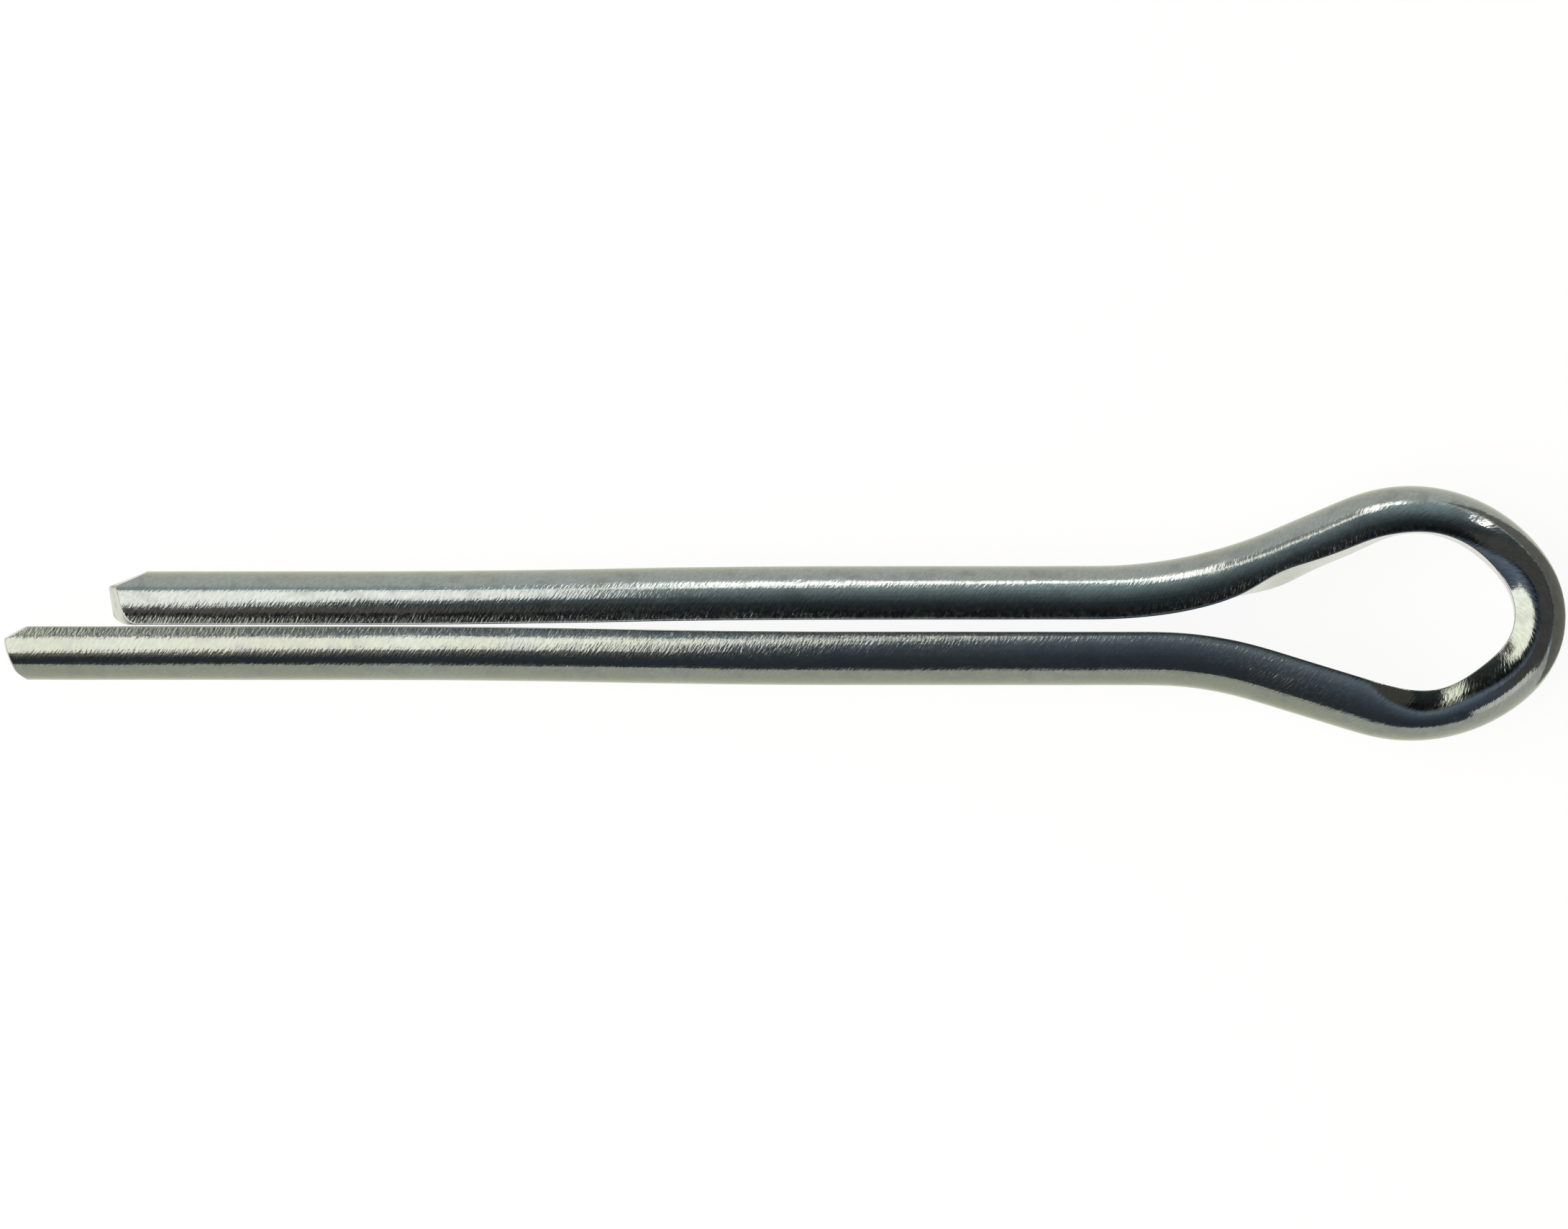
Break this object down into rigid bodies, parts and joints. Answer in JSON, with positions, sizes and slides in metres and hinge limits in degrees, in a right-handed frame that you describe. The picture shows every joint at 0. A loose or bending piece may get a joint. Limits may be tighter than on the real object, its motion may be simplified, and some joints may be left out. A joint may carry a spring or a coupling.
{
  "type": "cotter pin",
  "caption": "Split pin of half-round wire, folded flat to flat with an open eye and sheared ends of unequal length, that locks a nut or clevis pin through a drilled hole.",
  "frame": {"origin": "on the shank's axis, in the plane where the two shoulders under the eye meet the rim of a 5.16 mm hole", "axes": "+X along the shank towards the eye, -X towards the ends; +Y towards the short prong, in the plane of the fold; +Z square to the fold, upwards when the pin lies on its side"},
  "size_m": [0.0639, 0.0104, 0.0044],
  "materials": {
    "zinc_plated_steel": "bright zinc plate on steel wire, satin, with fine scratches and small dings"
  },
  "bodies": {
    "root": {"cotter_pin": "zinc_plated_steel"}
  },
  "joints": []
}
